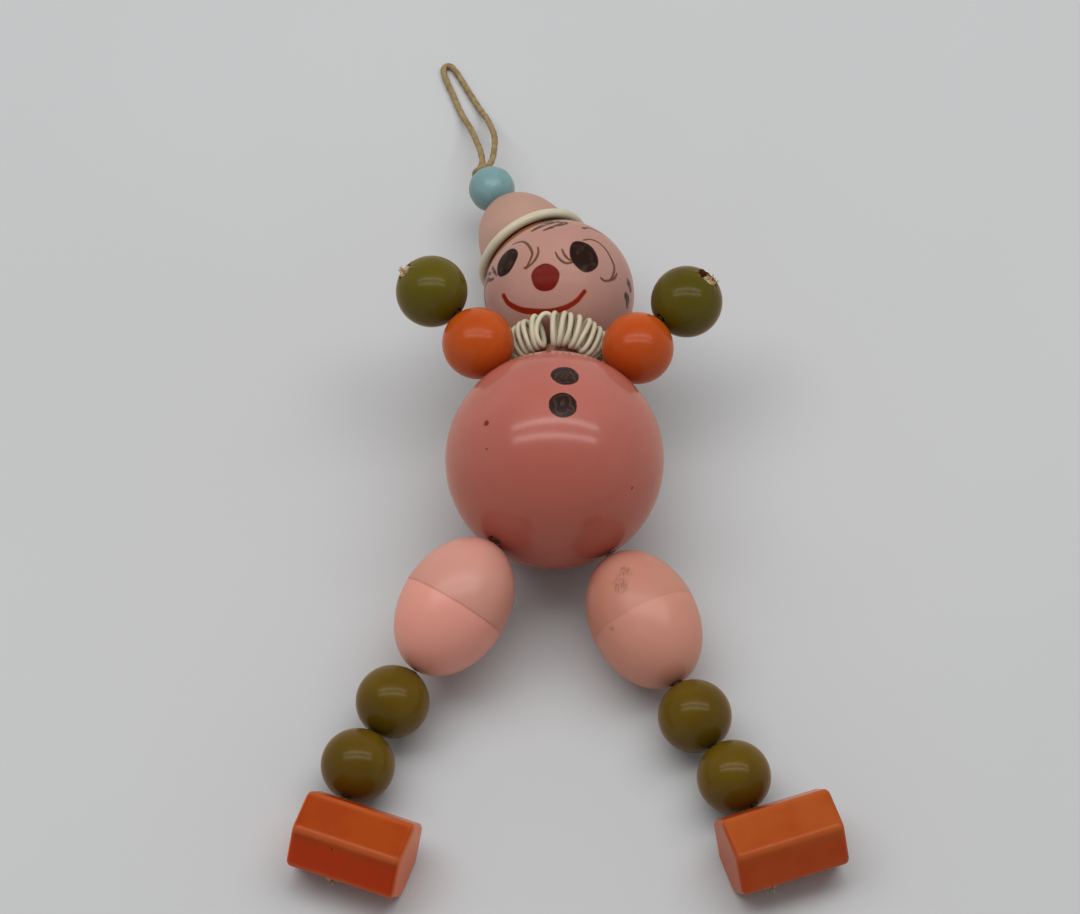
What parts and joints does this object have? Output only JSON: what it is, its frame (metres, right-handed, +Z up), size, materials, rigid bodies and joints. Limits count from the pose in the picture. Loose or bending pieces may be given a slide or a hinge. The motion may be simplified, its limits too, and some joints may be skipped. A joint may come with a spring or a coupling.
{
  "type": "clown rattle",
  "caption": "Strung plastic clown rattle lying on its back, with a hollow body ball of loose pellets, ball head, half-egg hat, coil ruff, bead arms, egg thighs and six-sided feet.",
  "frame": {"origin": "on the floor under the middle of the lying toy's box, the hanging loop left out", "axes": "+Z up from the floor, +Y from the feet to the head, +X to the toy's left side"},
  "size_m": [0.1196, 0.2254, 0.0479],
  "materials": {
    "body_pink": "glossy moulded plastic, deep pink",
    "head_pink": "glossy plastic, pink, with a painted face",
    "egg_pink": "glossy moulded plastic, peach pink",
    "hat_pink": "dulled moulded plastic, pink",
    "olive": "glossy plastic, olive green",
    "orange": "glossy plastic, orange",
    "foot_orange": "polished plastic rod, orange",
    "cream": "smooth plastic, cream",
    "turquoise": "glossy plastic, turquoise",
    "neck_tan": "dull plastic, tan pink",
    "waxed_cord": "twisted waxed twine, khaki",
    "pellet": "dull plastic, off-white"
  },
  "bodies": {
    "torso": {"body_ball": "body_pink", "neck_bead": "neck_tan", "right_body_cord": "waxed_cord", "left_body_cord": "waxed_cord", "arm_cord": "waxed_cord"},
    "pellet_1": {"rattle_pellet_1": "pellet"},
    "pellet_2": {"rattle_pellet_2": "pellet"},
    "pellet_3": {"rattle_pellet_3": "pellet"},
    "pellet_4": {"rattle_pellet_4": "pellet"},
    "ruff": {"ruff_coil": "cream"},
    "head": {"head_ball": "head_pink", "right_head_cord": "waxed_cord", "left_head_cord": "waxed_cord"},
    "hat": {"hat_shell": "hat_pink", "hat_ring": "cream", "right_hat_cord": "waxed_cord", "left_hat_cord": "waxed_cord"},
    "hat_top": {"top_bead": "turquoise", "hanging_loop": "waxed_cord"},
    "right_upper_arm": {"right_arm_bead": "orange", "right_arm_bead_cord": "waxed_cord"},
    "right_hand": {"right_hand_bead": "olive", "right_hand_cord": "waxed_cord"},
    "left_upper_arm": {"left_arm_bead": "orange", "left_arm_bead_cord": "waxed_cord"},
    "left_hand": {"left_hand_bead": "olive", "left_hand_cord": "waxed_cord"},
    "right_thigh": {"right_thigh_hip_shell": "egg_pink", "right_thigh_knee_shell": "egg_pink", "right_thigh_cord": "waxed_cord"},
    "right_upper_leg": {"right_upper_leg_bead": "olive", "right_upper_leg_cord": "waxed_cord"},
    "right_lower_leg": {"right_lower_leg_bead": "olive", "right_lower_leg_cord": "waxed_cord"},
    "right_foot_part": {"right_foot": "foot_orange", "right_foot_cord": "waxed_cord"},
    "left_thigh": {"left_thigh_hip_shell": "egg_pink", "left_thigh_knee_shell": "egg_pink", "left_thigh_cord": "waxed_cord"},
    "left_upper_leg": {"left_upper_leg_bead": "olive", "left_upper_leg_cord": "waxed_cord"},
    "left_lower_leg": {"left_lower_leg_bead": "olive", "left_lower_leg_cord": "waxed_cord"},
    "left_foot_part": {"left_foot": "foot_orange", "left_foot_cord": "waxed_cord"}
  },
  "joints": [
    {"name": "pellet_1_roll", "type": "hinge", "parent": "torso", "child": "pellet_1", "pos_m": [-0.00295, 0.00679, 0.024], "axis": [1, 0, 0], "range_deg": [-50, 50]},
    {"name": "pellet_2_roll", "type": "hinge", "parent": "torso", "child": "pellet_2", "pos_m": [-0.00295, 0.00679, 0.024], "axis": [1, 0, 0], "range_deg": [-50, 50]},
    {"name": "pellet_3_roll", "type": "hinge", "parent": "torso", "child": "pellet_3", "pos_m": [-0.00295, 0.00679, 0.024], "axis": [1, 0, 0], "range_deg": [-50, 50]},
    {"name": "pellet_4_roll", "type": "hinge", "parent": "torso", "child": "pellet_4", "pos_m": [-0.00295, 0.00679, 0.024], "axis": [1, 0, 0], "range_deg": [-50, 50]},
    {"name": "ruff_turn", "type": "hinge", "parent": "torso", "child": "ruff", "pos_m": [-0.00237, 0.0346, 0.02], "axis": [0.0207, 0.9896, -0.1423], "continuous": true},
    {"name": "head_turn", "type": "hinge", "parent": "torso", "child": "head", "pos_m": [-0.00193, 0.05548, 0.017], "axis": [0.0207, 0.9896, -0.1423], "range_deg": [-60, 60]},
    {"name": "hat_tilt", "type": "hinge", "parent": "head", "child": "hat", "pos_m": [-0.00193, 0.05548, 0.017], "axis": [0.9011, 0.4337, 0], "range_deg": [-15, 20]},
    {"name": "top_bead_tilt", "type": "hinge", "parent": "hat", "child": "hat_top", "pos_m": [-0.01514, 0.08292, 0.01353], "axis": [0.9011, 0.4337, 0], "range_deg": [-12, 12]},
    {"name": "right_shoulder_swing", "type": "hinge", "parent": "torso", "child": "right_upper_arm", "pos_m": [-0.0156, 0.02728, 0.02762], "axis": [0, 0, 1], "range_deg": [0, 25]},
    {"name": "right_elbow_bend", "type": "hinge", "parent": "right_upper_arm", "child": "right_hand", "pos_m": [-0.02428, 0.04133, 0.03011], "axis": [0, 0, 1], "range_deg": [-35, 14]},
    {"name": "left_shoulder_swing", "type": "hinge", "parent": "torso", "child": "left_upper_arm", "pos_m": [0.01073, 0.02667, 0.02724], "axis": [0, 0, 1], "range_deg": [-25, 0]},
    {"name": "left_elbow_bend", "type": "hinge", "parent": "left_upper_arm", "child": "left_hand", "pos_m": [0.02012, 0.04031, 0.02946], "axis": [0, 0, 1], "range_deg": [-12, 35]},
    {"name": "right_hip_swing", "type": "hinge", "parent": "torso", "child": "right_thigh", "pos_m": [-0.0162, -0.01361, 0.02281], "axis": [0, 0, 1], "range_deg": [-15, 15]},
    {"name": "right_knee_bend", "type": "hinge", "parent": "right_thigh", "child": "right_upper_leg", "pos_m": [-0.03308, -0.0396, 0.01177], "axis": [-0.809, 0.5878, 0], "range_deg": [-18, 18]},
    {"name": "right_shin_bend", "type": "hinge", "parent": "right_upper_leg", "child": "right_lower_leg", "pos_m": [-0.04264, -0.05276, 0.008], "axis": [0, 0, 1], "range_deg": [-44, 8]},
    {"name": "right_ankle_turn", "type": "hinge", "parent": "right_lower_leg", "child": "right_foot_part", "pos_m": [-0.04752, -0.06873, 0.008], "axis": [-0.342, -0.9397, 0], "range_deg": [-60, 60]},
    {"name": "left_hip_swing", "type": "hinge", "parent": "torso", "child": "left_thigh", "pos_m": [0.00948, -0.01235, 0.01551], "axis": [0, 0, 1], "range_deg": [-12, 25]},
    {"name": "left_knee_bend", "type": "hinge", "parent": "left_thigh", "child": "left_upper_leg", "pos_m": [0.02366, -0.04143, 0.00952], "axis": [-0.891, -0.454, 0], "range_deg": [-18, 18]},
    {"name": "left_shin_bend", "type": "hinge", "parent": "left_upper_leg", "child": "left_lower_leg", "pos_m": [0.03121, -0.05624, 0.008], "axis": [0, 0, 1], "range_deg": [-34, 24]},
    {"name": "left_ankle_turn", "type": "hinge", "parent": "left_lower_leg", "child": "left_foot_part", "pos_m": [0.04006, -0.07041, 0.008], "axis": [0.3305, -0.9438, 0], "range_deg": [-60, 60]}
  ]
}
